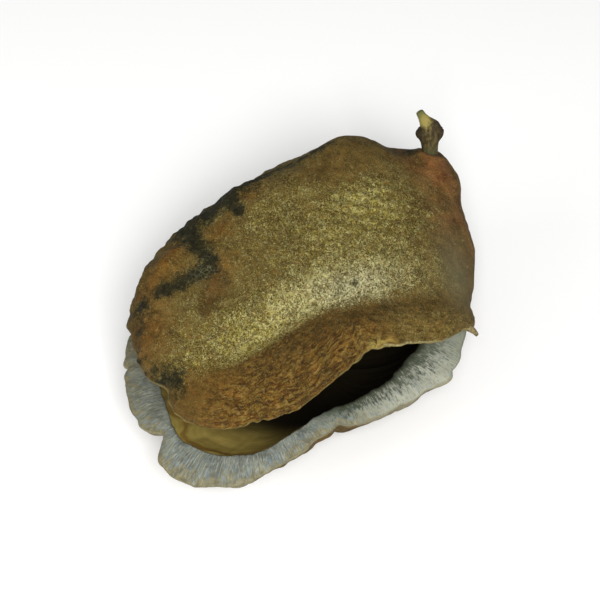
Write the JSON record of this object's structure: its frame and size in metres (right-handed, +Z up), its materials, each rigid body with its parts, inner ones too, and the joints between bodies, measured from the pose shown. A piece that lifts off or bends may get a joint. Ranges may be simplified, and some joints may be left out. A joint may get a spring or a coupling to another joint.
{
  "type": "dried woody seed pod",
  "caption": "Dried woody seed pod split open along its seam like a clam, hollow and smooth inside, with thick fibrous lips, a scurfy rind and a short knobbed stalk.",
  "frame": {"origin": "middle of the worn flat under the pod's lower half, on the surface it lies on", "axes": "+X along the pod, from its tip to its stalk; +Z up; -Y is the front, where the split gapes widest"},
  "size_m": [0.1026, 0.0694, 0.0493],
  "materials": {
    "pod_wall": "dry scurfy rind, fibrous split lips, smooth lining",
    "stalk_bark": "dry bark"
  },
  "bodies": {
    "root": {"pod": "pod_wall", "stalk": "stalk_bark"}
  },
  "joints": []
}
